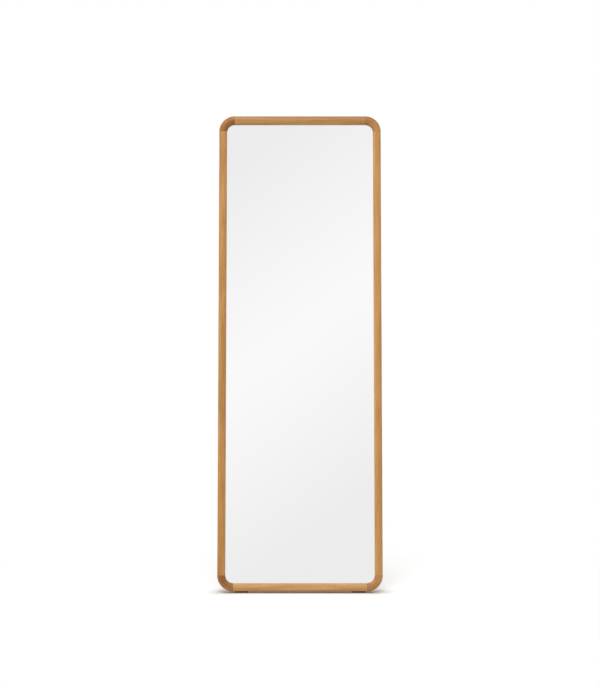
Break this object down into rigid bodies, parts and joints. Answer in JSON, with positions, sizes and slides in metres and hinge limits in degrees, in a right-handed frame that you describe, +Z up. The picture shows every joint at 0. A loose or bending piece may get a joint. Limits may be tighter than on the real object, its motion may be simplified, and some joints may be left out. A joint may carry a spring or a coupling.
{
  "type": "leaning floor mirror",
  "caption": "Full-length leaning floor mirror with a slim rounded oak frame, convex face, quarter-turn corner blocks, deep-set glass, floor pads, wall bumpers and hanging rings.",
  "frame": {"origin": "On the floor, midway across the width and midway between the foremost line of the frame and the wall that the bumpers meet", "axes": "+Z up, +Y back towards the wall, +X to the right of someone who looks at the mirror; the mirror faces -Y and leans back by 5 degrees"},
  "size_m": [0.6, 0.183, 1.7487],
  "materials": {
    "oak_bar": "solid oak, oiled, grain along the bar",
    "oak_corner": "solid oak, oiled, darker where end grain shows",
    "beech": "raw beech dowel",
    "black_foam": "closed-cell foam strip",
    "mirror": "silvered float glass",
    "film": "woven-backed safety film",
    "rubber": "moulded, matt black",
    "foam_tape": "double-sided foam tape",
    "board": "medium density fibreboard, sealed",
    "zinc_screw": "zinc plated",
    "zinc_plate": "zinc plated strip",
    "zinc_wire": "zinc plated wire"
  },
  "bodies": {
    "mirror": {"backing_board": "board", "backing_screws": "zinc_screw", "bottom_rail": "oak_bar", "corner_block_bottom_left": "oak_corner", "corner_block_bottom_right": "oak_corner", "corner_block_top_left": "oak_corner", "corner_block_top_right": "oak_corner", "corner_dowels": "beech", "foot_pad_left": "rubber", "foot_pad_right": "rubber", "glass_cushion": "black_foam", "hanger_screws": "zinc_screw", "hanger_strap_left": "zinc_plate", "hanger_strap_right": "zinc_plate", "left_stile": "oak_bar", "mirror_glass": "mirror", "mounting_tape": "foam_tape", "pad_screws": "zinc_screw", "right_stile": "oak_bar", "safety_film": "film", "setting_blocks": "rubber", "top_rail": "oak_bar", "wall_bumper_left": "rubber", "wall_bumper_right": "rubber"},
    "ring_left": {"hanger_ring_left": "zinc_wire"},
    "ring_right": {"hanger_ring_right": "zinc_wire"}
  },
  "joints": [
    {"name": "left_ring_swing", "type": "hinge", "parent": "mirror", "child": "ring_left", "pos_m": [-0.28375, 0.071, 1.50276], "axis": [1, 0, 0], "range_deg": [-4, 178]},
    {"name": "right_ring_swing", "type": "hinge", "parent": "mirror", "child": "ring_right", "pos_m": [0.28375, 0.071, 1.50276], "axis": [1, 0, 0], "range_deg": [-4, 178]}
  ]
}
